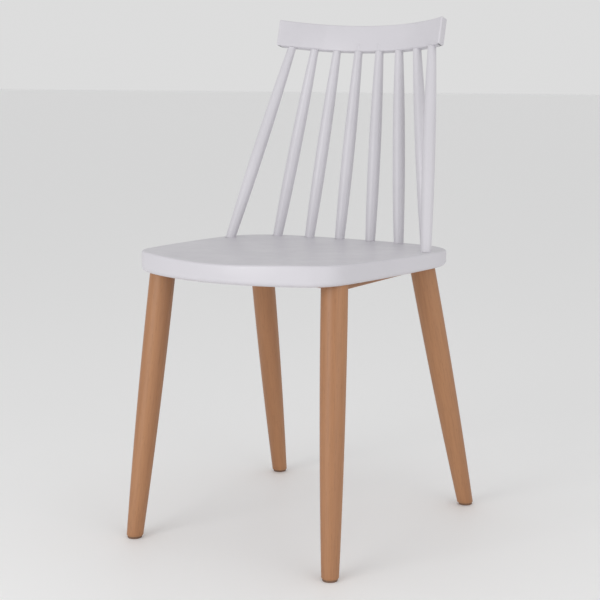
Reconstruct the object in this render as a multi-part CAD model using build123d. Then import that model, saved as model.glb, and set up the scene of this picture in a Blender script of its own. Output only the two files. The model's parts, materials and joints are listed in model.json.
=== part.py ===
from build123d import *
import os
from math import atan, ceil, cos, degrees, floor, radians, sin, sqrt

# A dining chair: a moulded seat with eight spindles and a curved crest rail, screwed down on a frame
# of four splayed, turned beech legs and four beech rails.
#
# Millimetres, +Z up, the front of the chair towards -Y, the sitter's left towards +X.
# The pieces are laid out about the middle of the four feet and then moved along Y, so that the
# origin lies on the floor under the middle of the chair's overall box. The chair is the same left and
# right, so each piece that isn't on the middle plane is made on the left and mirrored.

# ---------------------------------------------------------------------------------------------
# Driving sizes
# ---------------------------------------------------------------------------------------------

# Legs: each axis runs from the floor to the level where the leg is cut off under the seat
FRONT_FOOT_X = 177.5          # centre of a front foot, out from the middle
FRONT_FOOT_Y = 215.0          # centre of a front foot, forward of the middle
REAR_FOOT_X = 185.8
REAR_FOOT_Y = 215.0           # behind the middle
LEG_TOP_X = 152.0             # the same for all four legs
FRONT_LEG_TOP_Y = 162.3       # forward of the middle
REAR_LEG_TOP_Y = 102.7        # behind the middle
LEG_TOP_Z = 427.0             # tops of the legs and of the rails
LEG_TOP_R = 19.5
LEG_MIDDLE_R = 17.7           # half way up the swelling part
LEG_STRAIGHT = 45.0           # top stretch that is turned to one radius, where the rails join
LEG_FOOT_R = 12.7
LEG_FOOT_ROUND = 1.6          # rounding round the sole of a leg

# Foot glides: nylon discs with a pin that is driven into the leg
GLIDE_THICKNESS = 3.5
GLIDE_MARGIN = 1.4            # how far a glide stays inside the sole of its leg
GLIDE_ROUND = 1.2
GLIDE_PIN_R = 2.2
GLIDE_PIN_LENGTH = 15.0

# Rails: straight beech bars between the legs, right under the seat
SIDE_RAIL_HEIGHT = 18.0
CROSS_RAIL_HEIGHT = 14.5      # front and rear rails, which the skirt hides
RAIL_THICKNESS = 20.0
RAIL_ROUND = 2.5
COPE_GAP = 0.2                # between a leg and the hollowed end of a rail
DOWEL_R = 4.0
DOWEL_DROP = 7.0              # from the tops of the rails down to the dowels
DOWEL_IN_LEG = 9.0
DOWEL_IN_RAIL = 18.0

# Corner plates: bent steel strip as wide as a cross rail, drawn to the leg by a hanger bolt
PLATE_THICKNESS = 2.0
PLATE_REACH = 46.0            # along each rail, from the inside corner to the bend
PLATE_FLANGE = 24.0           # flat that is screwed to the rail
BOLT_R = 3.0
BOLT_END_IN_LEG = 2.0         # from the leg's axis to the bolt's inner end
BOLT_PAST_NUT = 3.0
WASHER_R = 6.0
WASHER_THICKNESS = 1.6
NUT_ACROSS_FLATS = 10.0
NUT_THICKNESS = 5.0
PLATE_SCREW_R = 2.0
PLATE_SCREW_LENGTH = 14.0
PLATE_SCREW_HEAD_R = 4.0
PLATE_SCREW_HEAD = 2.4

# Seat: a moulded shell, open underneath, with a flat rim that the spindles stand on
SEAT_TOP_Z = 444.3            # top of the seat, half way between front and rear feet
SEAT_TOP_FALL = 0.030         # the seat falls to the rear by this much per unit of depth
SEAT_UNDER_Z = 417.9          # lower edge of the skirt, at the same place
SEAT_UNDER_FALL = 0.006
SEAT_FRONT_Y = 203.0          # front corners of the outline before rounding, forward of the middle
SEAT_FRONT_X = 171.0
SEAT_REAR_Y = 148.0           # rear corners before rounding, behind the middle
SEAT_REAR_X = 203.0
SEAT_FRONT_BOW = 55.0         # how far each edge bows out between its corners
SEAT_SIDE_BOW = 9.0
SEAT_REAR_BOW = 25.0
SEAT_FRONT_CORNER_R = 75.0
SEAT_REAR_CORNER_R = 95.0
SEAT_TOP_ROUND = 3.5
SEAT_UNDER_ROUND = 7.5
SEAT_WALL = 4.5               # the sheet that carries the sitter
SKIRT_WALL = 5.5
LEG_POCKET_GAP = 0.8          # between a leg and the inside of the seat
LEG_PAD_R = 15.0              # bosses that bear on the tops of the legs
RIB_THICKNESS = 2.4
RIB_HEIGHT = 7.5
RIB_PITCH = 50.0

# Seat screws: up through the rails into bosses under the seat
SIDE_SCREW_Y = (-65.0, 10.0)
SEAT_SCREW_R = 2.25
SEAT_SCREW_HEAD_R = 4.4
SEAT_SCREW_HEAD = 3.0
SEAT_SCREW_SINK = 6.0         # depth of the counterbore in the rail
SEAT_SCREW_BITE = 9.0         # length of thread in the seat
SEAT_BOSS_R = 8.0

# Crest rail: a curved board that leans back
CREST_Y = 206.3               # middle of its lower face, behind the middle of the feet
CREST_Z = 747.0
CREST_LEAN = 14.4             # degrees from upright
CREST_CURVE_R = 280.0         # of the middle of its thickness
CREST_HALF_WIDTH = 152.5
CREST_HEIGHT = 43.5
CREST_THICKNESS = 15.5
CREST_ROUND = 2.2

# Spindles: barrel-shaped rods, the outer pair standing forward of the rest
SPINDLE_RIM_INSET = 17.5      # from the seat's outline to the line that the spindles stand on
SPINDLE_RIM_SPOTS = (30.0, 87.5, 145.5, 243.0)    # along that line from its middle
SPINDLE_CREST_PITCH = 38.9    # along the crest rail's curve
SPINDLE_BASE_R = 8.0
SPINDLE_BELLY_R = 10.1
SPINDLE_BELLY_AT = 0.43       # share of the height where it is thickest
SPINDLE_TOP_R = 6.7
SEAT_TENON_R = 6.0
SEAT_TENON_LENGTH = 14.0
CREST_TENON_R = 4.5
CREST_TENON_LENGTH = 12.0
SOCKET_BOSS_R = 11.5
SOCKET_FLOOR = 5.5            # left under each tenon for the screw to pull on
SPINDLE_SCREW_R = 2.0
SPINDLE_SCREW_BITE = 9.0
SPINDLE_SCREW_HEAD_R = 4.5
SPINDLE_SCREW_HEAD = 2.5

# Clearances
FIT_GAP = 0.1                 # round dowels, tenons, pins and screws
END_GAP = 0.5                 # beyond the end of anything in a blind hole

# ---------------------------------------------------------------------------------------------
# Worked out from them
# ---------------------------------------------------------------------------------------------

FAR = 1200.0                  # larger than the chair, for half spaces
DOWEL_Z = LEG_TOP_Z - DOWEL_DROP
PLATE_MIDDLE_Z = LEG_TOP_Z - CROSS_RAIL_HEIGHT / 2
PLACES = ("front", "rear")
FORWARD, BACK, LEFTWARD, UP = Vector(0, -1, 0), Vector(0, 1, 0), Vector(1, 0, 0), Vector(0, 0, 1)
SEAT_FRONT_EDGE_Y = SEAT_FRONT_Y + SEAT_FRONT_BOW
REAR_FOOT_EDGE_Y = REAR_FOOT_Y + LEG_FOOT_R
ORIGIN_SHIFT = Location((0, (SEAT_FRONT_EDGE_Y - REAR_FOOT_EDGE_Y) / 2, 0))

os.makedirs("parts", exist_ok=True)


def save(node, *pieces):
    """Move a piece, or a group of like pieces, to the chair's origin and write it as one node."""
    moved = [ORIGIN_SHIFT * piece.solid() for piece in pieces]
    export_step(moved[0] if len(moved) == 1 else Compound(moved), f"parts/{node}.step")


def other_side(piece):
    """A left-hand piece made right-hand."""
    return mirror(piece, about=Plane.YZ)


def both_sides(pieces):
    """Left-hand pieces and their right-hand twins."""
    return [*pieces, *(other_side(piece) for piece in pieces)]


def rod(start, end, radius):
    """A round bar from one point to another."""
    base = Plane(origin=start, z_dir=end - start)
    return extrude(base * Circle(radius), (end - start).length)


def below(height, fall):
    """Everything under a plane that has this height at y = 0 and falls towards the rear."""
    tilt = Location((0, 0, height), (-degrees(atan(fall)), 0, 0))
    return tilt * Box(FAR, FAR, FAR, align=(Align.CENTER, Align.CENTER, Align.MAX))


def slab(low, high):
    """Everything between two levels."""
    return Pos(0, 0, low) * Box(FAR, FAR, high - low, align=(Align.CENTER, Align.CENTER, Align.MIN))


def turned(swell, over):
    """A round bar with this swelling side, standing on the origin, longer by over at both ends."""
    (low, start, _), (high, stop, _) = swell @ 0, swell @ 1
    profile = make_face([
        Line((0, start - over), (low, start - over)),
        Line((low, start - over), (low, start)),
        swell,
        Line((high, stop), (high, stop + over)),
        Line((high, stop + over), (0, stop + over)),
        Line((0, stop + over), (0, start - over)),
    ])
    return revolve(Plane.XZ * profile, Axis.Z)


# ---------------------------------------------------------------------------------------------
# Legs and glides
# ---------------------------------------------------------------------------------------------

LEG_ENDS = {
    "front": (Vector(FRONT_FOOT_X, -FRONT_FOOT_Y, 0), Vector(LEG_TOP_X, -FRONT_LEG_TOP_Y, LEG_TOP_Z)),
    "rear": (Vector(REAR_FOOT_X, REAR_FOOT_Y, 0), Vector(LEG_TOP_X, REAR_LEG_TOP_Y, LEG_TOP_Z)),
}


def leg_axis_at(place, height):
    """The point of a leg's axis at a height."""
    foot, top = LEG_ENDS[place]
    return foot + (top - foot) * (height / LEG_TOP_Z)


def leg_blank(place, extra=0.0):
    """A leg's turned shape, longer than the leg at both ends and fatter by extra."""
    foot, top = LEG_ENDS[place]
    height = (top - foot).length - LEG_STRAIGHT
    swell = ThreePointArc(
        (LEG_FOOT_R + extra, 0), (LEG_MIDDLE_R + extra, height / 2), (LEG_TOP_R + extra, height))
    return Plane(origin=foot, z_dir=top - foot).location * turned(swell, LEG_STRAIGHT + 2 * LEG_TOP_R)


def glide_pin(place, extra_radius=0.0, extra_length=0.0):
    """The pin of a glide, or the hole for it."""
    sole = leg_axis_at(place, GLIDE_THICKNESS)
    return rod(sole, sole + UP * (GLIDE_PIN_LENGTH + extra_length), GLIDE_PIN_R + extra_radius)


def foot_glide(place):
    """A nylon disc under a leg, with its pin."""
    sole = leg_axis_at(place, GLIDE_THICKNESS)
    disc = rod(sole - UP * GLIDE_THICKNESS, sole, LEG_FOOT_R - GLIDE_MARGIN)
    disc = fillet(disc.edges().sort_by(Axis.Z)[0], GLIDE_ROUND)
    return disc + glide_pin(place)


# ---------------------------------------------------------------------------------------------
# Rails, dowels and corner plates
# ---------------------------------------------------------------------------------------------

SIDE_RAIL_X = (leg_axis_at("front", DOWEL_Z).X + leg_axis_at("rear", DOWEL_Z).X) / 2
CROSS_RAIL_Y = {place: leg_axis_at(place, DOWEL_Z).Y for place in PLACES}
PLATE_DISTANCE = (RAIL_THICKNESS + PLATE_REACH) / sqrt(2)      # from a leg's middle to its plate


def directions(place):
    """The directions from a left leg along its cross rail and along its side rail."""
    return -LEFTWARD, BACK if place == "front" else FORWARD


def post(place, height):
    """The point where the middle lines of two rails cross, inside a left leg."""
    return Vector(SIDE_RAIL_X, CROSS_RAIL_Y[place], height)


def dowel(place, towards, extra_length=0.0, extra_radius=0.0):
    """A dowel from inside a leg into the rail that leaves the leg in this direction, or its hole."""
    middle = leg_axis_at(place, DOWEL_Z)
    inner = middle + towards * (LEG_TOP_R - DOWEL_IN_LEG - extra_length)
    outer = middle + towards * (LEG_TOP_R + DOWEL_IN_RAIL + extra_length)
    return rod(inner, outer, DOWEL_R + extra_radius)


def plate_screw_spots(place):
    """Points on two rails under the middles of a plate's flanges, and the screws' directions."""
    along_cross, along_side = directions(place)
    corner = post(place, PLATE_MIDDLE_Z) + (along_cross + along_side) * (RAIL_THICKNESS / 2)
    out = PLATE_REACH + PLATE_FLANGE / 2
    return (corner + along_cross * out, -along_side), (corner + along_side * out, -along_cross)


def plate_screw(spot, into_rail):
    """A round-headed screw through a plate's flange into a rail."""
    face = spot - into_rail * PLATE_THICKNESS
    head = rod(face, face - into_rail * PLATE_SCREW_HEAD, PLATE_SCREW_HEAD_R)
    rims = head.edges().filter_by(GeomType.CIRCLE)
    head = fillet(rims.sort_by_distance(face - into_rail * PLATE_SCREW_HEAD)[0], PLATE_SCREW_HEAD * 0.6)
    return head + rod(face, spot + into_rail * PLATE_SCREW_LENGTH, PLATE_SCREW_R)


def plate_screw_hole(spot, into_rail):
    """The hole for a plate's screw, through the flange and into the rail."""
    start = spot - into_rail * (2 * PLATE_THICKNESS)
    return rod(start, spot + into_rail * (PLATE_SCREW_LENGTH + END_GAP), PLATE_SCREW_R + FIT_GAP)


def bolt_bar(place, start, stop, radius):
    """A round bar on a hanger bolt's axis between two distances from the leg's middle."""
    direction = sum(directions(place), Vector()).normalized()
    level = post(place, PLATE_MIDDLE_Z)
    return rod(level + direction * start, level + direction * stop, radius)


def hanger_bolt(place):
    """The stud from inside a leg through its corner plate."""
    past = PLATE_THICKNESS + WASHER_THICKNESS + NUT_THICKNESS + BOLT_PAST_NUT
    return bolt_bar(place, BOLT_END_IN_LEG, PLATE_DISTANCE + past, BOLT_R)


def hanger_hole(place):
    """The way for a hanger bolt through its leg, corner plate, washer and nut, and past the rails."""
    return bolt_bar(place, BOLT_END_IN_LEG - END_GAP, 2 * PLATE_DISTANCE, BOLT_R + FIT_GAP)


def corner_plate(place):
    """Steel strip bent across an inside corner, with its holes."""
    along_cross, along_side = directions(place)
    bottom = LEG_TOP_Z - CROSS_RAIL_HEIGHT
    corner = post(place, bottom) + (along_cross + along_side) * (RAIL_THICKNESS / 2)
    bend = PLATE_REACH + PLATE_THICKNESS * (sqrt(2) - 1)
    end = PLATE_REACH + PLATE_FLANGE
    outline = [(end, 0), (PLATE_REACH, 0), (0, PLATE_REACH), (0, end), (PLATE_THICKNESS, end),
               (PLATE_THICKNESS, bend), (bend, PLATE_THICKNESS), (end, PLATE_THICKNESS)]
    points = [corner + along_cross * across + along_side * along for across, along in outline]
    plate = extrude(make_face(Polyline(*points, close=True)), CROSS_RAIL_HEIGHT, dir=UP)
    return plate - [hanger_hole(place), *(plate_screw_hole(*spot) for spot in plate_screw_spots(place))]


def washer(place):
    """The washer on a corner plate."""
    face = PLATE_DISTANCE + PLATE_THICKNESS
    return bolt_bar(place, face, face + WASHER_THICKNESS, WASHER_R) - hanger_hole(place)


def nut(place):
    """The hexagon nut on a washer."""
    direction = sum(directions(place), Vector()).normalized()
    face = PLATE_DISTANCE + PLATE_THICKNESS + WASHER_THICKNESS
    base = Plane(origin=post(place, PLATE_MIDDLE_Z) + direction * face, x_dir=UP, z_dir=direction)
    hexagon = base * RegularPolygon(NUT_ACROSS_FLATS / 2, 6, major_radius=False)
    return extrude(hexagon, NUT_THICKNESS) - hanger_hole(place)


# ---------------------------------------------------------------------------------------------
# Seat outline, and where the spindles stand
# ---------------------------------------------------------------------------------------------

def bowed_edge(start, end, bow, inset):
    """The disc whose rim bows out by this much from one corner to the next, or one smaller by inset."""
    half = (end - start).length / 2
    radius = (half * half + bow * bow) / (2 * bow)
    outward = Vector(end.Y - start.Y, start.X - end.X, 0).normalized()
    centre = (start + end) * 0.5 + outward * (bow - radius)
    return Pos(centre.X, centre.Y) * Circle(radius - inset)


def seat_outline(inset=0.0):
    """The seat in plan: four bowed edges with rounded corners, all moved inwards by inset."""
    corners = [Vector(-SEAT_FRONT_X, -SEAT_FRONT_Y, 0), Vector(SEAT_FRONT_X, -SEAT_FRONT_Y, 0),
               Vector(SEAT_REAR_X, SEAT_REAR_Y, 0), Vector(-SEAT_REAR_X, SEAT_REAR_Y, 0)]
    bows = (SEAT_FRONT_BOW, SEAT_SIDE_BOW, SEAT_REAR_BOW, SEAT_SIDE_BOW)
    front, left, rear, right = (
        bowed_edge(corners[number], corners[(number + 1) % 4], bow, inset) for number, bow in enumerate(bows))
    face = (front & rear) & (left & right)
    face = fillet(face.vertices().group_by(Axis.Y)[-1], SEAT_REAR_CORNER_R - inset)
    return fillet(face.vertices().group_by(Axis.Y)[0], SEAT_FRONT_CORNER_R - inset)


def spindle_feet():
    """The points on the left half of the seat's top where the spindles stand, inner one first."""
    rim_line = seat_outline(SPINDLE_RIM_INSET).face().outer_wire()
    middle = rim_line.param_at_point(Vector(0, SEAT_REAR_Y + SEAT_REAR_BOW - SPINDLE_RIM_INSET, 0))
    spots = [rim_line.position_at((middle + spot / rim_line.length) % 1) for spot in SPINDLE_RIM_SPOTS]
    return [Vector(abs(spot.X), spot.Y, SEAT_TOP_Z - SEAT_TOP_FALL * spot.Y) for spot in spots]


def crest_plane():
    """The plane of the crest rail's lower face, its own y pointing back and down."""
    lean = radians(CREST_LEAN)
    return Plane(origin=(0, CREST_Y, CREST_Z), x_dir=(1, 0, 0), z_dir=(0, sin(lean), cos(lean)))


def spindle_heads():
    """The points on the left half of the crest rail's lower face where the spindles end."""
    turns = [(number + 0.5) * SPINDLE_CREST_PITCH / CREST_CURVE_R for number in range(len(SPINDLE_RIM_SPOTS))]
    spots = [(CREST_CURVE_R * sin(turn), CREST_CURVE_R * (cos(turn) - 1)) for turn in turns]
    return [crest_plane().from_local_coords(Vector(x, y, 0)) for x, y in spots]


SPINDLE_LINES = dict(zip(("inner", "second", "third", "outer"), zip(spindle_feet(), spindle_heads())))
SOCKET_DEPTH = SEAT_TENON_LENGTH + END_GAP


# ---------------------------------------------------------------------------------------------
# Spindles and their screws
# ---------------------------------------------------------------------------------------------

def spindle_bar(line, start, stop, radius):
    """A round bar on a spindle's axis between two distances from its foot."""
    foot, head = line
    direction = (head - foot).normalized()
    return rod(foot + direction * start, foot + direction * stop, radius)


def spindle(line):
    """A barrel-shaped rod, trimmed to the seat and to the crest rail, with a tenon at each end."""
    foot, head = line
    length = (head - foot).length
    over = SPINDLE_BASE_R
    swell = ThreePointArc(
        (SPINDLE_BASE_R, 0), (SPINDLE_BELLY_R, SPINDLE_BELLY_AT * length), (SPINDLE_TOP_R, length))
    body = Plane(origin=foot, z_dir=head - foot).location * turned(swell, over)
    above_crest = crest_plane().location * Box(FAR, FAR, FAR, align=(Align.CENTER, Align.CENTER, Align.MIN))
    body -= [below(SEAT_TOP_Z, SEAT_TOP_FALL), above_crest]
    body += spindle_bar(line, -SEAT_TENON_LENGTH, over, SEAT_TENON_R)
    body += spindle_bar(line, length - over, length + CREST_TENON_LENGTH, CREST_TENON_R)
    screw_end = SPINDLE_SCREW_BITE - SEAT_TENON_LENGTH + END_GAP
    return body - spindle_bar(line, -SOCKET_DEPTH, screw_end, SPINDLE_SCREW_R + FIT_GAP)


def spindle_screw(line):
    """The screw that draws a spindle down into the seat."""
    under = -SOCKET_DEPTH - SOCKET_FLOOR
    shank = spindle_bar(line, under, SPINDLE_SCREW_BITE - SEAT_TENON_LENGTH, SPINDLE_SCREW_R)
    return shank + spindle_bar(line, under - SPINDLE_SCREW_HEAD, under, SPINDLE_SCREW_HEAD_R)


# ---------------------------------------------------------------------------------------------
# Crest rail
# ---------------------------------------------------------------------------------------------

def crest_rail():
    """A curved board with square-cut ends and a blind socket for each spindle."""
    outer_r = CREST_CURVE_R + CREST_THICKNESS / 2
    band = Pos(0, -CREST_CURVE_R) * (Circle(outer_r) - Circle(outer_r - CREST_THICKNESS))
    band &= Rectangle(2 * CREST_HALF_WIDTH, CREST_CURVE_R)
    board = crest_plane().location * fillet(extrude(band, CREST_HEIGHT).edges(), CREST_ROUND)
    sockets = []
    for foot, head in SPINDLE_LINES.values():
        end = (head - foot).length + CREST_TENON_LENGTH
        sockets.append(spindle_bar(
            (foot, head), end - 2 * CREST_TENON_LENGTH, end + END_GAP, CREST_TENON_R + FIT_GAP))
    return board - both_sides(sockets)


# ---------------------------------------------------------------------------------------------
# Seat and its screws
# ---------------------------------------------------------------------------------------------

SIDE_SCREWS = [((SIDE_RAIL_X, y), SIDE_RAIL_HEIGHT) for y in SIDE_SCREW_Y]
MIDDLE_SCREWS = [((0, CROSS_RAIL_Y[place]), CROSS_RAIL_HEIGHT) for place in PLACES]


def upright(spot, radius, low, high):
    """A round bar between two levels."""
    return rod(Vector(*spot, low), Vector(*spot, high), radius)


def seat_screw(spot, rail_height):
    """A screw with its head sunk in a rail's underside and its thread in the seat."""
    head_top = LEG_TOP_Z - rail_height + SEAT_SCREW_SINK
    head = upright(spot, SEAT_SCREW_HEAD_R, head_top - SEAT_SCREW_HEAD, head_top)
    return head + upright(spot, SEAT_SCREW_R, head_top, LEG_TOP_Z + SEAT_SCREW_BITE)


def seat_screw_hole(spot, rail_height):
    """The screw's hole in the rail and in the seat, with the counterbore for its head."""
    bottom = LEG_TOP_Z - rail_height
    sink = upright(spot, SEAT_SCREW_HEAD_R + END_GAP, bottom, bottom + SEAT_SCREW_SINK)
    return sink + upright(spot, SEAT_SCREW_R + FIT_GAP, bottom, LEG_TOP_Z + SEAT_SCREW_BITE + END_GAP)


def seat_block():
    """The seat's outside shape, solid."""
    block = extrude(seat_outline(), FAR) & below(SEAT_TOP_Z, SEAT_TOP_FALL)
    block -= below(SEAT_UNDER_Z, SEAT_UNDER_FALL)
    block = fillet(block.faces().sort_by(Axis.Z)[-1].edges(), SEAT_TOP_ROUND)
    return fillet(block.faces().sort_by(Axis.Z)[0].edges(), SEAT_UNDER_ROUND)


def seat_hollow():
    """The space inside the skirt, up to the sheet that carries the sitter, and down to the floor."""
    return extrude(seat_outline(SKIRT_WALL), FAR) & below(SEAT_TOP_Z - SEAT_WALL, SEAT_TOP_FALL)


def rib_places(low, high):
    """The middles of the ribs between two sides, half a pitch either side of the chair's middle."""
    return [(number + 0.5) * RIB_PITCH
            for number in range(ceil(low / RIB_PITCH - 0.5), floor(high / RIB_PITCH - 0.5) + 1)]


def rib_strips():
    """The ribs in plan, cut to the inside of the skirt: some run front to back, some left to right."""
    inside = seat_outline(SKIRT_WALL)
    reach = inside.bounding_box()
    strips = [Pos(x, 0) * Rectangle(RIB_THICKNESS, FAR) for x in rib_places(reach.min.X, reach.max.X)]
    strips += [Pos(0, y) * Rectangle(FAR, RIB_THICKNESS) for y in rib_places(reach.min.Y, reach.max.Y)]
    return [inside & strip for strip in strips]


def seat_ribs():
    """Shallow ribs under the sheet."""
    sheet = below(SEAT_TOP_Z - SEAT_WALL, SEAT_TOP_FALL)
    under = below(SEAT_TOP_Z - SEAT_WALL - RIB_HEIGHT, SEAT_TOP_FALL)
    return [(extrude(strip, FAR) & sheet) - under for strip in rib_strips()]


def seat_bosses():
    """Round bosses: over the legs, over the seat screws and round the spindles' sockets."""
    tops = [leg_axis_at(place, LEG_TOP_Z) for place in PLACES]
    bosses = [upright((top.X, top.Y), LEG_PAD_R, LEG_TOP_Z, FAR) for top in tops]
    bosses += [upright(spot, SEAT_BOSS_R, LEG_TOP_Z, FAR) for spot, _ in SIDE_SCREWS]
    bosses += [spindle_bar(line, -SOCKET_DEPTH - SOCKET_FLOOR, SOCKET_DEPTH, SOCKET_BOSS_R)
               for line in SPINDLE_LINES.values()]
    return both_sides(bosses) + [upright(spot, SEAT_BOSS_R, LEG_TOP_Z, FAR) for spot, _ in MIDDLE_SCREWS]


def seat():
    """The moulded seat: sheet, skirt, ribs, bosses, sockets and pockets for the legs."""
    bosses = [boss & seat_hollow() for boss in seat_bosses()]
    shell = (seat_block() - seat_hollow()) + seat_ribs() + bosses
    holes = [seat_screw_hole(*screw) for screw in SIDE_SCREWS]
    holes += [leg_blank(place, LEG_POCKET_GAP) & slab(0, LEG_TOP_Z) for place in PLACES]
    for line in SPINDLE_LINES.values():
        holes.append(spindle_bar(line, -SOCKET_DEPTH, SOCKET_DEPTH, SEAT_TENON_R + FIT_GAP))
        holes.append(spindle_bar(line, -2 * SOCKET_DEPTH, 0, SPINDLE_SCREW_R + FIT_GAP))
    return shell - both_sides(holes) - [seat_screw_hole(*screw) for screw in MIDDLE_SCREWS]


# ---------------------------------------------------------------------------------------------
# Frame pieces with their holes
# ---------------------------------------------------------------------------------------------

def leg(place):
    """A turned leg, cut level at both ends and drilled for its dowels, bolt and glide."""
    shape = leg_blank(place) & slab(GLIDE_THICKNESS, LEG_TOP_Z)
    shape = fillet(shape.edges().sort_by(Axis.Z)[0], LEG_FOOT_ROUND)
    dowels = [dowel(place, towards, END_GAP, FIT_GAP) for towards in directions(place)]
    return shape - [*dowels, hanger_hole(place), glide_pin(place, FIT_GAP, END_GAP)]


def rail_bar(middle, size_x, size_y, height):
    """A bar with rounded long edges, its top level with the tops of the legs."""
    top = Pos(middle.X, middle.Y, LEG_TOP_Z)
    bar = top * Box(size_x, size_y, height, align=(Align.CENTER, Align.CENTER, Align.MAX))
    return fillet(bar.edges().filter_by(Axis.X if size_x > size_y else Axis.Y), RAIL_ROUND)


def side_rail():
    """The left rail between a front and a rear leg, its ends hollowed to the legs."""
    front, rear = (post(place, LEG_TOP_Z) for place in PLACES)
    bar = rail_bar((front + rear) * 0.5, RAIL_THICKNESS, rear.Y - front.Y, SIDE_RAIL_HEIGHT)
    cuts = [leg_blank(place, COPE_GAP) for place in PLACES]
    cuts += [dowel(place, directions(place)[1], END_GAP, FIT_GAP) for place in PLACES]
    cuts += [plate_screw_hole(*plate_screw_spots(place)[1]) for place in PLACES]
    cuts += [hanger_hole(place) for place in PLACES]
    return bar - cuts - [seat_screw_hole(*screw) for screw in SIDE_SCREWS]


def cross_rail(place):
    """The rail between two front or two rear legs, its ends hollowed to the legs."""
    middle = Vector(0, CROSS_RAIL_Y[place], LEG_TOP_Z)
    bar = rail_bar(middle, 2 * SIDE_RAIL_X, RAIL_THICKNESS, CROSS_RAIL_HEIGHT)
    cuts = [leg_blank(place, COPE_GAP), dowel(place, directions(place)[0], END_GAP, FIT_GAP),
            plate_screw_hole(*plate_screw_spots(place)[0]), hanger_hole(place)]
    return bar - both_sides(cuts) - seat_screw_hole(*MIDDLE_SCREWS[PLACES.index(place)])


# ---------------------------------------------------------------------------------------------
# Write every node
# ---------------------------------------------------------------------------------------------

def save_pair(name, piece):
    """Write a left-hand piece and its right-hand twin."""
    save(f"{name}_left", piece)
    save(f"{name}_right", other_side(piece))


save("seat", seat())
save("crest_rail", crest_rail())
for number, line in SPINDLE_LINES.items():
    save_pair(f"spindle_{number}", spindle(line))
save("spindle_screws", *both_sides([spindle_screw(line) for line in SPINDLE_LINES.values()]))

for place in PLACES:
    save_pair(f"leg_{place}", leg(place))
    save_pair(f"foot_glide_{place}", foot_glide(place))
    save_pair(f"corner_plate_{place}", corner_plate(place))
    save(f"{place}_rail", cross_rail(place))
save_pair("side_rail", side_rail())

rail_dowels = [dowel(place, towards) for place in PLACES for towards in directions(place)]
plate_screws = [plate_screw(*spot) for place in PLACES for spot in plate_screw_spots(place)]
save("rail_dowels", *both_sides(rail_dowels))
save("hanger_bolts", *both_sides([hanger_bolt(place) for place in PLACES]))
save("bolt_washers", *both_sides([washer(place) for place in PLACES]))
save("bolt_nuts", *both_sides([nut(place) for place in PLACES]))
save("plate_screws", *both_sides(plate_screws))
middle_screws = [seat_screw(*screw) for screw in MIDDLE_SCREWS]
save("seat_screws", *both_sides([seat_screw(*screw) for screw in SIDE_SCREWS]), *middle_screws)
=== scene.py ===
# %% [markdown]
# A dining chair. The imported model gives the frame: every piece is already in its place, in metres,
# with +Z up and the front of the seat towards -Y. Pieces whose shape is plain enough keep their
# meshes and only get a finish. Turned and moulded pieces are made again here, smooth and rounded,
# and each stands for the piece of the same name. Nothing may leave the model's own box.

import json
import math

import bmesh
import bpy
from mathutils import Matrix, Vector


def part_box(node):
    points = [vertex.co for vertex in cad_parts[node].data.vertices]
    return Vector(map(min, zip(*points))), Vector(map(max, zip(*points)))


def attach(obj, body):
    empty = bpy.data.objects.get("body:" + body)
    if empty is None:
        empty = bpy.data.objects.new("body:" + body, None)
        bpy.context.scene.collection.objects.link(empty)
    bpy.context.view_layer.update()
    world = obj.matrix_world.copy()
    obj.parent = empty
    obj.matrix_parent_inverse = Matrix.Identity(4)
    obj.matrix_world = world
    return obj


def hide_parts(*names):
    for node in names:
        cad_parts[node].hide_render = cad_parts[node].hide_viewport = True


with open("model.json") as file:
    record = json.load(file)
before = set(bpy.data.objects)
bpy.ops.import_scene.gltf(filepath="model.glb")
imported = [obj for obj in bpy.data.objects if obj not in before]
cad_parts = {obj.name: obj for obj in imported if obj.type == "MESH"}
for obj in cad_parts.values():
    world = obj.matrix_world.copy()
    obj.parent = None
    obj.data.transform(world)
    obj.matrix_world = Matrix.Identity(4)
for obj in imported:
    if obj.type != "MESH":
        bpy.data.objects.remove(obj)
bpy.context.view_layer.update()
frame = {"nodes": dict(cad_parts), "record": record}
nodes = frame["nodes"]
print("nodes:", len(nodes))

# %% [markdown]
# Six small helpers do what every finish needs: make a material with one Principled shader, add a
# node with its settings, join two nodes, turn a value into colours, write a neutral grey, and bump
# the surface. A number that is the same all over a surface goes straight on the shader, because a
# linked socket may not survive the export.


# %% Material helpers
def new_finish(name, **settings):
    """A material with its Principled shader set; the names are the shader's sockets."""
    material = bpy.data.materials.new(name)
    material.use_nodes = True
    shader = material.node_tree.nodes["Principled BSDF"]
    for socket, value in settings.items():
        shader.inputs[socket.replace("_", " ")].default_value = value
    return material, shader


def add(material, kind, **inputs):
    """A node of this kind with its inputs set."""
    node = material.node_tree.nodes.new(kind)
    for socket, value in inputs.items():
        node.inputs[socket.replace("_", " ")].default_value = value
    return node


def link(material, source, output, target, socket):
    """Join one node's output to another node's input."""
    material.node_tree.links.new(source.outputs[output], target.inputs[socket])


def ramp(material, source, output, stops):
    """A colour ramp fed by a value; stops are (place, colour)."""
    node = add(material, "ShaderNodeValToRGB")
    elements = node.color_ramp.elements
    while len(elements) < len(stops):
        elements.new(0.5)
    for element, (place, colour) in zip(elements, stops):
        element.position = place
        element.color = (*colour, 1.0)
    link(material, source, output, node, "Fac")
    return node


def grey(value):
    """A neutral colour, for ramps that carry a roughness or a height."""
    return value, value, value


def bump(material, shader, source, output, strength, distance):
    """Push the surface in and out by a value, a very short way."""
    node = add(material, "ShaderNodeBump", Strength=strength, Distance=distance)
    link(material, source, output, node, "Height")
    link(material, node, "Normal", shader, "Normal")


# %% [markdown]
# White moulded polypropylene. Real mouldings are never one flat white: the colour drifts a little
# with the wall behind it, the spark-eroded mould leaves a texture finer than a millimetre, and use
# polishes that texture unevenly, so the gloss changes from place to place. Three noises of very
# different scales give these three effects.


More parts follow.
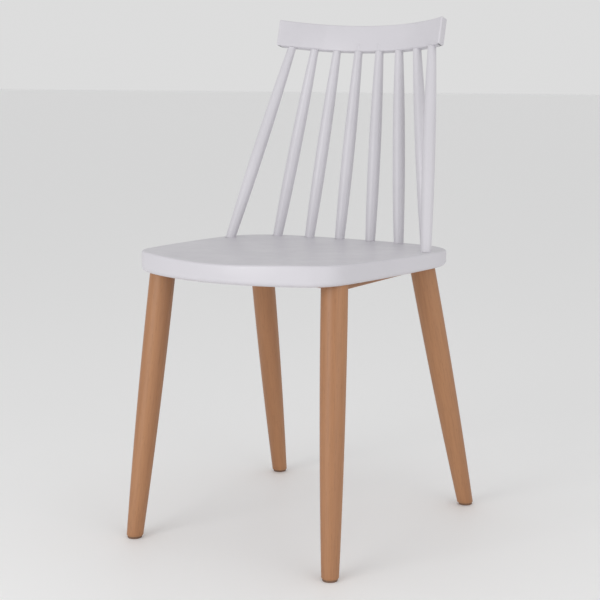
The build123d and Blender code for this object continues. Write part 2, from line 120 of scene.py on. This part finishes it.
# %% White plastic
def white_plastic():
    """Satin white moulding with a fine mould texture."""
    material, shader = new_finish("white_polypropylene", IOR=1.49)
    place = add(material, "ShaderNodeTexCoord")
    drift = add(material, "ShaderNodeTexNoise", Scale=6.0, Detail=2.0, Roughness=0.5)
    link(material, place, "Object", drift, "Vector")
    tint = ramp(material, drift, "Fac", [(0.30, (0.575, 0.560, 0.595)), (0.70, (0.615, 0.600, 0.635))])
    link(material, tint, "Color", shader, "Base Color")
    polish = add(material, "ShaderNodeTexNoise", Scale=28.0, Detail=3.0, Roughness=0.6)
    link(material, place, "Object", polish, "Vector")
    gloss = ramp(material, polish, "Fac", [(0.30, grey(0.33)), (0.70, grey(0.45))])
    link(material, gloss, "Color", shader, "Roughness")
    spark = add(material, "ShaderNodeTexNoise", Scale=1400.0, Detail=2.0, Roughness=0.6)
    link(material, place, "Object", spark, "Vector")
    bump(material, shader, spark, "Fac", 0.25, 0.00012)
    return material


# %% [markdown]
# Beech. Its grain runs along the piece, so the pattern is stretched along one direction by a
# Mapping node: the points are first turned until the piece's own long direction is Z and then
# squeezed along it. Three things make it read as beech: broad soft bands of growth, fine straight
# pores, and the short dark flecks of the rays that beech always shows. Each piece gets its own
# copy, turned to its own axis and shifted, so that no two pieces show the same board.


# %% Beech
# A Mix node has sockets for numbers, vectors and colours, and these are the colour ones.
MIX_COLOUR_A, MIX_COLOUR_B, MIX_COLOUR_RESULT = 6, 7, 2
BAND_STRETCH, PORE_STRETCH, FLECK_STRETCH = 0.06, 0.030, 0.16    # along the grain, against 1 across
PORE_STRENGTH, FLECK_STRENGTH = 0.7, 0.6


def darken(material, base, tone, strength):
    """Multiply a colour by a tone, to a given strength, and give the output that holds the result."""
    mix = material.node_tree.nodes.new("ShaderNodeMix")
    mix.data_type = "RGBA"
    mix.blend_type = "MULTIPLY"
    mix.inputs["Factor"].default_value = strength
    material.node_tree.links.new(base, mix.inputs[MIX_COLOUR_A])
    material.node_tree.links.new(tone.outputs["Color"], mix.inputs[MIX_COLOUR_B])
    return mix.outputs[MIX_COLOUR_RESULT]


def beech(name, along, shift):
    """Clear-lacquered beech whose grain runs in this direction."""
    material, shader = new_finish(name, IOR=1.5)
    place = add(material, "ShaderNodeTexCoord")
    turn = Vector(along).rotation_difference(Vector((0, 0, 1))).to_euler()

    def grain(stretch):
        """The piece's coordinates, turned to its axis and drawn out along it."""
        turned = add(material, "ShaderNodeMapping", Location=shift, Rotation=turn)
        link(material, place, "Object", turned, "Vector")
        drawn = add(material, "ShaderNodeMapping", Scale=(1.0, 1.0, stretch))
        link(material, turned, "Vector", drawn, "Vector")
        return drawn

    bands = add(material, "ShaderNodeTexNoise", Scale=34.0, Detail=3.0, Roughness=0.55, Distortion=0.3)
    link(material, grain(BAND_STRETCH), "Vector", bands, "Vector")
    colour = ramp(material, bands, "Fac", [
        (0.28, (0.315, 0.142, 0.062)), (0.50, (0.365, 0.170, 0.076)), (0.74, (0.415, 0.202, 0.094))])
    pores = add(material, "ShaderNodeTexNoise", Scale=620.0, Detail=2.0, Roughness=0.6)
    link(material, grain(PORE_STRETCH), "Vector", pores, "Vector")
    pore_tone = ramp(material, pores, "Fac", [(0.34, grey(0.86)), (0.52, grey(1.0))])
    flecks = add(material, "ShaderNodeTexVoronoi", Scale=330.0, Randomness=1.0)
    link(material, grain(FLECK_STRETCH), "Vector", flecks, "Vector")
    fleck_tone = ramp(material, flecks, "Distance", [(0.10, grey(0.80)), (0.26, grey(1.0))])
    wood = darken(material, colour.outputs["Color"], pore_tone, PORE_STRENGTH)
    wood = darken(material, wood, fleck_tone, FLECK_STRENGTH)
    material.node_tree.links.new(wood, shader.inputs["Base Color"])
    sheen = ramp(material, bands, "Fac", [(0.30, grey(0.40)), (0.70, grey(0.52))])
    link(material, sheen, "Color", shader, "Roughness")
    bump(material, shader, pores, "Fac", 0.30, 0.00010)
    return material


# %% [markdown]
# The small parts. Zinc plating is bright but cloudy, with a faint blue cast, so its roughness
# varies. The plates are powder-coated, which leaves a fine orange-peel surface. The glides are a
# brown nylon near the colour of the wood, dull and slightly scuffed.


# %% Small parts' finishes
def clouded(name, colours, roughness, scale, height, **settings):
    """A finish whose colour and gloss both follow one cloudy noise."""
    material, shader = new_finish(name, **settings)
    place = add(material, "ShaderNodeTexCoord")
    cloud = add(material, "ShaderNodeTexNoise", Scale=scale, Detail=4.0, Roughness=0.6)
    link(material, place, "Object", cloud, "Vector")
    tint = ramp(material, cloud, "Fac", [(0.30, colours[0]), (0.70, colours[1])])
    link(material, tint, "Color", shader, "Base Color")
    gloss = ramp(material, cloud, "Fac", [(0.30, grey(roughness[0])), (0.70, grey(roughness[1]))])
    link(material, gloss, "Color", shader, "Roughness")
    bump(material, shader, cloud, "Fac", 0.3, height)
    return material


WHITE = white_plastic()
ZINC = clouded("zinc_plate", ((0.52, 0.54, 0.57), (0.68, 0.69, 0.70)), (0.22, 0.40), 220.0, 0.00003,
               Metallic=1.0)
POWDER_COAT = clouded("black_powder_coat", ((0.018, 0.018, 0.020), (0.035, 0.035, 0.038)), (0.38, 0.52),
                      900.0, 0.00008)
NYLON = clouded("brown_nylon", ((0.150, 0.080, 0.045), (0.200, 0.110, 0.065)), (0.50, 0.68), 300.0, 0.00006)
print("finishes:", [material.name for material in bpy.data.materials])

# %% [markdown]
# A new piece starts as a bmesh and ends as an object at the origin, smooth-shaded, with an edge
# kept sharp only where two faces meet at a real corner. It rides on the chair's one body, stands
# for the piece of the model with the same name, which it hides, and takes the finish it is given.

# %% Finishing a piece
SHARP_ANGLE = math.radians(32)
MERGE_DISTANCE = 1e-6            # points nearer than this are one point
slots = {part["node"]: part["material_slot"] for part in frame["record"]["subparts"]}


def place_piece(bm, node, material):
    """Turn a bmesh into the visible piece that stands for a node."""
    bmesh.ops.recalc_face_normals(bm, faces=bm.faces)
    for face in bm.faces:
        face.smooth = True
    for edge in bm.edges:
        edge.smooth = len(edge.link_faces) == 2 and edge.calc_face_angle(0.0) < SHARP_ANGLE
    mesh = bpy.data.meshes.new(node + "_shape")
    bm.to_mesh(mesh)
    bm.free()
    piece = bpy.data.objects.new(node + "_finished", mesh)
    bpy.context.scene.collection.objects.link(piece)
    piece.data.materials.append(material)
    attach(piece, "root")
    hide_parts(node)
    return piece


def copy_of(node):
    """A node's mesh as a bmesh with its loose triangles joined up."""
    bm = bmesh.new()
    bm.from_mesh(nodes[node].data)
    bmesh.ops.remove_doubles(bm, verts=bm.verts, dist=MERGE_DISTANCE)
    return bm


# %% [markdown]
# Where a piece stands is read from the model. A leg is cut level at both ends, so the middle of
# its lowest points and the middle of its highest points both lie on its axis. A spindle ends in
# round tenons cut square, so its ends are sought along its own direction instead. That search has a
# fault: it starts from a direction that is a little wrong, finds one point of each tenon's rim, and
# stays on the slanting line between them. So a spindle stands some millimetres off its true axis.
# The normals of the tenons' end faces would give the axis exactly. The flat face that a spindle
# stands on or ends at is the largest triangle that looks the right way.

# %% Reading axes and faces from the model
END_SLICE = 0.00005              # points this near the furthest one lie on the end face
FACING = 0.9                     # cosine of the angle within which a face looks this way


def box_middle(points):
    """The middle of the box round some points."""
    low = Vector(min(point[axis] for point in points) for axis in range(3))
    high = Vector(max(point[axis] for point in points) for axis in range(3))
    return (low + high) / 2


def end_middle(bm, direction):
    """The middle of the end face that lies furthest along a direction."""
    far = max(vertex.co.dot(direction) for vertex in bm.verts)
    return box_middle([vertex.co for vertex in bm.verts if vertex.co.dot(direction) > far - END_SLICE])


def axis_of(node, refinements):
    """Two points near the ends of a round piece's axis, exactly on it only if its ends are level."""
    bm = copy_of(node)
    direction = Vector((0, 0, 1))
    for _ in range(refinements + 1):
        low, high = end_middle(bm, -direction), end_middle(bm, direction)
        direction = (high - low).normalized()
    bm.free()
    return low, high


def flat_face(node, facing):
    """A point and the normal of the largest flat face that looks roughly this way."""
    bm = copy_of(node)
    facing = Vector(facing)
    candidates = [face for face in bm.faces if face.normal.dot(facing) > FACING]
    face = max(candidates, key=lambda face: face.calc_area())
    found = face.calc_center_median(), face.normal.copy()
    bm.free()
    return found


SEAT_TOP = flat_face("seat", (0, 0, 1))
CREST_UNDERSIDE = flat_face("crest_rail", (0, 0, -1))
print("seat falls", round(math.degrees(SEAT_TOP[1].angle(Vector((0, 0, 1)))), 2), "degrees")
print("crest leans", round(math.degrees(CREST_UNDERSIDE[1].angle(Vector((0, 0, -1)))), 2), "degrees")

# %% [markdown]
# Legs and spindles are turned on a lathe, and so are they here: half of the outline is laid beside
# the axis and spun round it. Both swell like a barrel, which is an arc through three radii. A
# stretched cone would need its rings moved one by one, and a curve with a bevel would not close its
# ends, so the spin is the simplest true shape. The spin leaves a double row where it closes, which
# use_merge removes.

# %% Turning
TURNED_SIDES = 72
RINGS = 28
CUT_TOLERANCE = 1e-7


def barrel_radius(share, radii):
    """The radius at this share of the length, on a smooth bow through the radii at 0, at and 1."""
    low, (at, belly), high = radii
    low_part = low * (share - at) * (share - 1) / at
    belly_part = belly * share * (share - 1) / (at * (at - 1))
    high_part = high * share * (share - at) / (1 - at)
    return low_part + belly_part + high_part


def turn_piece(bm, low, high, radii, over_low, over_high):
    """Spin a barrel outline round the axis from low to high, longer at its ends by over."""
    length = (high - low).length
    shares = [ring / RINGS for ring in range(RINGS + 1)]
    outline = [bm.verts.new((barrel_radius(share, radii), 0, share * length)) for share in shares]
    outline.insert(0, bm.verts.new((radii[0], 0, -over_low)))
    outline.append(bm.verts.new((radii[2], 0, length + over_high)))
    edges = [bm.edges.new(pair) for pair in zip(outline, outline[1:])]
    bmesh.ops.spin(bm, geom=outline + edges, cent=(0, 0, 0), axis=(0, 0, 1), dvec=(0, 0, 0),
                   angle=2 * math.pi, steps=TURNED_SIDES, use_merge=True)
    stand = Vector((0, 0, 1)).rotation_difference(high - low).to_matrix().to_4x4()
    bmesh.ops.transform(bm, matrix=Matrix.Translation(low) @ stand, verts=bm.verts)


def cut_off(bm, point, normal):
    """Cut away what lies beyond a plane, close the cut, and return the new end face."""
    cut = bmesh.ops.bisect_plane(bm, geom=bm.verts[:] + bm.edges[:] + bm.faces[:], dist=CUT_TOLERANCE,
                                 plane_co=point, plane_no=normal, clear_outer=True)
    rim = [item for item in cut["geom_cut"] if isinstance(item, bmesh.types.BMEdge)]
    return bmesh.ops.contextual_create(bm, geom=rim)["faces"][0]


# %% [markdown]
# The legs. The part of a leg that swells stops a little under the seat, and from there up it is
# turned to one radius, so that the rails can meet a plain round. Its sole is eased with a small
# bevel, as a sander leaves it, and the top edge hides inside the seat. The leg is turned solid,
# without the holes for its bolt, its dowels and its glide, so those run into the wood unseen.

# %% Legs
LEG_FOOT_R, LEG_MIDDLE_R, LEG_TOP_R = 0.0127, 0.0177, 0.0195
LEG_STRAIGHT = 0.045
SOLE_EASE = 0.0016
LEG_GRAIN_STEP = (0.31, 0.17, 0.43)    # how far the grain moves on from one leg to the next


def leg(node, shift):
    """A turned beech leg in the place of its node."""
    low, high = axis_of(node, refinements=0)
    along = (high - low).normalized()
    floor_point = low - along * (low.z / along.z)
    swell_end = high - along * LEG_STRAIGHT
    bm = bmesh.new()
    turn_piece(bm, floor_point, swell_end, (LEG_FOOT_R, (0.5, LEG_MIDDLE_R), LEG_TOP_R),
               LEG_TOP_R, LEG_STRAIGHT + LEG_TOP_R)
    cut_off(bm, high, (0, 0, 1))
    sole = cut_off(bm, low, (0, 0, -1))
    bmesh.ops.bevel(bm, geom=list(sole.edges), offset=SOLE_EASE, segments=4, profile=0.5,
                    affect="EDGES", material=-1, clamp_overlap=True)
    return place_piece(bm, node, beech(node + "_beech", along, shift))


for number, node in enumerate(sorted(name for name in nodes if name.startswith("leg_"))):
    piece = leg(node, tuple(step * number for step in LEG_GRAIN_STEP))
    print(piece.name, len(piece.data.polygons), "faces")

# %% [markdown]
# The spindles. Each is turned a little too long, cut to the slope of the seat below and to the
# crest rail's lean above, and then grows a tenon from each cut: the end face is inset to the
# tenon's radius and pushed out along the axis, towards its socket. That way the shoulders lie flat
# on their neighbours, at whatever angle each spindle leans. Because the axis is a little off, the
# tenons cut into their sockets' walls, and from above a thin dark edge of the socket shows beside
# the foot. The screw runs into a foot that has no hole for it, where nothing shows.

# %% Spindles
SPINDLE_BASE_R, SPINDLE_BELLY_R, SPINDLE_TOP_R = 0.0080, 0.0101, 0.0067
SPINDLE_BELLY_AT = 0.43
SEAT_TENON_R, SEAT_TENON_LENGTH = 0.0060, 0.0140
CREST_TENON_R, CREST_TENON_LENGTH = 0.0045, 0.0120


def grow_tenon(bm, end_face, shoulder, push):
    """Inset an end face by the shoulder's width and push it out into a tenon."""
    bmesh.ops.inset_region(bm, faces=[end_face], thickness=shoulder, use_even_offset=True)
    grown = bmesh.ops.extrude_face_region(bm, geom=[end_face])
    moved = [item for item in grown["geom"] if isinstance(item, bmesh.types.BMVert)]
    bmesh.ops.delete(bm, geom=[end_face], context="FACES_ONLY")
    bmesh.ops.translate(bm, verts=moved, vec=push)


def spindle(node):
    """A barrel-shaped spindle in the place of its node."""
    low, high = axis_of(node, refinements=3)
    along = (high - low).normalized()
    foot, head = low + along * SEAT_TENON_LENGTH, high - along * CREST_TENON_LENGTH
    bm = bmesh.new()
    turn_piece(bm, foot, head, (SPINDLE_BASE_R, (SPINDLE_BELLY_AT, SPINDLE_BELLY_R), SPINDLE_TOP_R),
               SPINDLE_BASE_R, SPINDLE_BASE_R)
    top_end = cut_off(bm, CREST_UNDERSIDE[0], -CREST_UNDERSIDE[1])
    grow_tenon(bm, top_end, SPINDLE_TOP_R - CREST_TENON_R, along * CREST_TENON_LENGTH)
    bottom_end = cut_off(bm, SEAT_TOP[0], -SEAT_TOP[1])
    grow_tenon(bm, bottom_end, SPINDLE_BASE_R - SEAT_TENON_R, -along * SEAT_TENON_LENGTH)
    return place_piece(bm, node, WHITE)


for node in sorted(name for name in nodes if name.startswith("spindle_") and name != "spindle_screws"):
    piece = spindle(node)
    print(piece.name, len(piece.data.polygons), "faces")

# %% [markdown]
# The crest rail already has its true shape in the model: a curved board with softened edges and
# sockets below. Its triangles are joined so that light runs over the curve without a break. The
# rails and the small steel parts keep the model's own meshes, because their corners are crisp.

# %% Crest rail
crest = place_piece(copy_of("crest_rail"), "crest_rail", WHITE)
print(crest.name, len(crest.data.polygons), "faces")

# %% [markdown]
# The seat. A real one sinks a few millimetres into a shallow dish, deepest just behind its middle,
# so that a sitter doesn't slide, and its front edge rolls down in the middle, so that it doesn't press
# behind the knees. The joined copy of the model's seat keeps the skirt, the ribs and the bosses.
# Its flat top has only large triangles, which can't bend, so the sheet is first cut into a fine
# grid by planes and then lowered by two smooth functions that fade out before the side rims. Only
# what lies above the ends of the screw holes goes down, so that no screw's tip meets the seat.

# %% Seat
DISH_DEPTH = 0.0030
DISH_HALF_WIDTH, DISH_HALF_DEPTH = 0.150, 0.165
DISH_MIDDLE_Y = -0.010
DISH_SQUARENESS = 2.6            # 2 is an oval, and more is nearer to a rounded rectangle
ROLL_DEPTH = 0.0038
ROLL_START_Y = -0.130            # where the top begins to roll down to the front edge
ROLL_HALF_WIDTH = 0.150
GRID_STEP = 0.009
FLAT = 0.99                      # a face whose normal's height is more than this is part of the flat top
SCREW_HOLE_END_Z = 0.4366        # just above the ends of the seat screws' holes


def ease(share):
    """0 to 1 with a smooth start and a smooth end."""
    share = min(max(share, 0.0), 1.0)
    return share * share * (3 - 2 * share)


def sink(x, y, front_y):
    """How far the sheet lies below the model's flat top here."""
    out = (abs(x) / DISH_HALF_WIDTH) ** DISH_SQUARENESS
    out += (abs(y - DISH_MIDDLE_Y) / DISH_HALF_DEPTH) ** DISH_SQUARENESS
    dish = DISH_DEPTH * (1 - out) ** 2 if out < 1 else 0.0
    roll = ease((ROLL_START_Y - y) / (ROLL_START_Y - front_y)) * ease(1 - abs(x) / ROLL_HALF_WIDTH)
    return dish + ROLL_DEPTH * roll


def cut_top(bm, place, normal):
    """Cut only the faces of the seat's top along a plane."""
    upward = [face for face in bm.faces if face.normal.z > FLAT]
    top = [face for face in upward if face.calc_center_median().z > SCREW_HOLE_END_Z]
    geom = top + list({edge for face in top for edge in face.edges})
    geom += list({vertex for face in top for vertex in face.verts})
    bmesh.ops.bisect_plane(bm, geom=geom, dist=MERGE_DISTANCE, plane_co=place, plane_no=normal)


def seat():
    """The moulded seat with its shallow dish and its rolled front."""
    low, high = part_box("seat")
    bm = copy_of("seat")
    for axis, normal in enumerate((Vector((1, 0, 0)), Vector((0, 1, 0)))):
        cuts = round((high[axis] - low[axis]) / GRID_STEP)
        step = (high[axis] - low[axis]) / cuts
        for cut in range(1, cuts):
            cut_top(bm, normal * (low[axis] + cut * step), normal)
    for vertex in bm.verts:
        if vertex.co.z > SCREW_HOLE_END_Z:
            vertex.co.z -= sink(vertex.co.x, vertex.co.y, low.y)
    return place_piece(bm, "seat", WHITE)


seat_piece = seat()
print(seat_piece.name, len(seat_piece.data.polygons), "faces")

# %% [markdown]
# The set: a plain pale floor, an even white surround, and two large soft lights on the viewer's
# side. The big light stands in front of the chair, so the seat's front is brighter than its top,
# and a weaker one on the right keeps that side from going flat.

# %% Stage, light and camera
def area_light(name, place, aim, size, power):
    """A soft square light that looks at a point."""
    lamp = bpy.data.lights.new(name, "AREA")
    lamp.size = size
    lamp.energy = power
    holder = bpy.data.objects.new(name, lamp)
    holder.location = place
    holder.rotation_euler = (Vector(aim) - Vector(place)).to_track_quat("-Z", "Y").to_euler()
    bpy.context.scene.collection.objects.link(holder)


FLOOR_HALF_SIZE = 40.0
floor_bm = bmesh.new()
bmesh.ops.create_grid(floor_bm, x_segments=1, y_segments=1, size=FLOOR_HALF_SIZE)
floor_mesh = bpy.data.meshes.new("floor_shape")
floor_bm.to_mesh(floor_mesh)
floor_bm.free()
floor = bpy.data.objects.new("floor", floor_mesh)
bpy.context.scene.collection.objects.link(floor)
floor_finish, _ = new_finish("pale_floor", Base_Color=(0.92, 0.92, 0.92, 1.0), Roughness=0.6)
floor.data.materials.append(floor_finish)

world = bpy.data.worlds.new("studio")
bpy.context.scene.world = world
world.use_nodes = True
surround = world.node_tree.nodes["Background"]
surround.inputs["Color"].default_value = (1.0, 1.0, 1.0, 1.0)
surround.inputs["Strength"].default_value = 0.72

CHAIR_MIDDLE = (0.0, 0.0, 0.42)
area_light("key", (-0.5, -2.8, 1.0), CHAIR_MIDDLE, 1.6, 28.0)
area_light("fill", (2.6, -0.9, 0.9), CHAIR_MIDDLE, 2.0, 15.0)

camera_data = bpy.data.cameras.new("camera")
camera_data.lens = 83.8
camera_data.sensor_width = 36.0
camera = bpy.data.objects.new("camera", camera_data)
camera.location = (1.1513, -1.8325, 0.7165)
camera.rotation_euler = (math.radians(80.7), 0.0, math.radians(32.1))
bpy.context.scene.collection.objects.link(camera)
bpy.context.scene.camera = camera
bpy.context.scene.view_settings.view_transform = "Standard"

# %% [markdown]
# The pieces that keep the model's meshes get their finishes here, and so do the hidden ones, which
# keeps every node's number, and with it the place of its grain, the same. A rail's grain runs along
# the rail, so a cross rail's runs left to right and a side rail's front to back.

# %% Finishes on the model's own pieces
SIDEWAYS, LENGTHWAYS = (1, 0, 0), (0, 1, 0)
GRAIN = {"front_rail": SIDEWAYS, "rear_rail": SIDEWAYS, "side_rail_left": LENGTHWAYS,
         "side_rail_right": LENGTHWAYS, "rail_dowels": SIDEWAYS}
UPRIGHT = (0, 0, 1)
NODE_GRAIN_STEP, NODE_GRAIN_START = (0.23, 0.0, 0.37), (0.0, 0.11, 0.0)
FINISH_OF_SLOT = {"zinc_steel": ZINC, "black_steel": POWDER_COAT, "glide_nylon": NYLON,
                  "white_plastic": WHITE}
for number, (node, piece) in enumerate(sorted(nodes.items())):
    if slots[node] == "beech":
        shift = tuple(start + step * number for start, step in zip(NODE_GRAIN_START, NODE_GRAIN_STEP))
        finish = beech(node + "_grain", GRAIN.get(node, UPRIGHT), shift)
    else:
        finish = FINISH_OF_SLOT[slots[node]]
    piece.data.materials.clear()
    piece.data.materials.append(finish)
print("nodes with a finish:", len(nodes))
